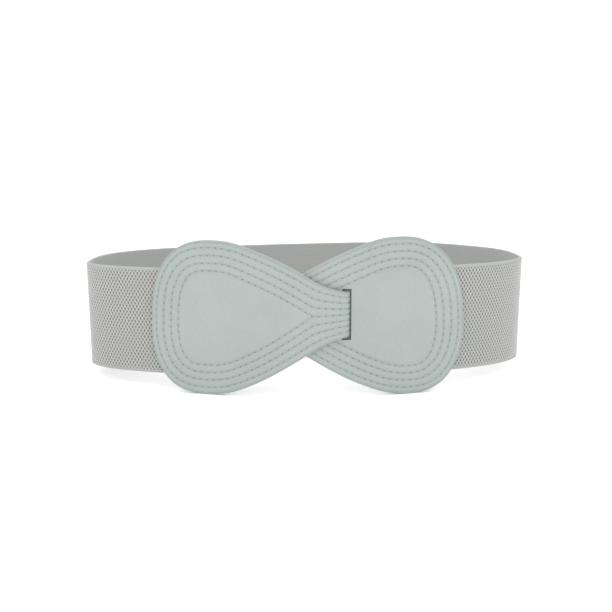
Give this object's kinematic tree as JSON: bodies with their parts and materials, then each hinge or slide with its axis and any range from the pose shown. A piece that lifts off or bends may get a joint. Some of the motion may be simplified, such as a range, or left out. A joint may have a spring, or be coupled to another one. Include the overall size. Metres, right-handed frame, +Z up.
{
  "type": "elastic stretch belt",
  "caption": "Wide elastic waist belt with two stitched leather front panels, one passed through a slot in the other to form a figure-of-eight closure.",
  "frame": {"origin": "on the floor under the middle of the belt's box, as it stands", "axes": "+X to the right seen from the front, +Y towards the back of the waist, +Z up"},
  "size_m": [0.2542, 0.1546, 0.0887],
  "materials": {
    "elastic": "woven stretch webbing, pale grey, with a staggered small lozenge weave outside and fine ribs inside",
    "leather": "smooth pale grey-green leather with a fine grain and a soft sheen",
    "stud": "satin nickel-plated press stud"
  },
  "bodies": {
    "root": {"elastic_band": "elastic", "left_panel": "leather", "right_panel": "leather", "press_stud": "stud"}
  },
  "joints": []
}
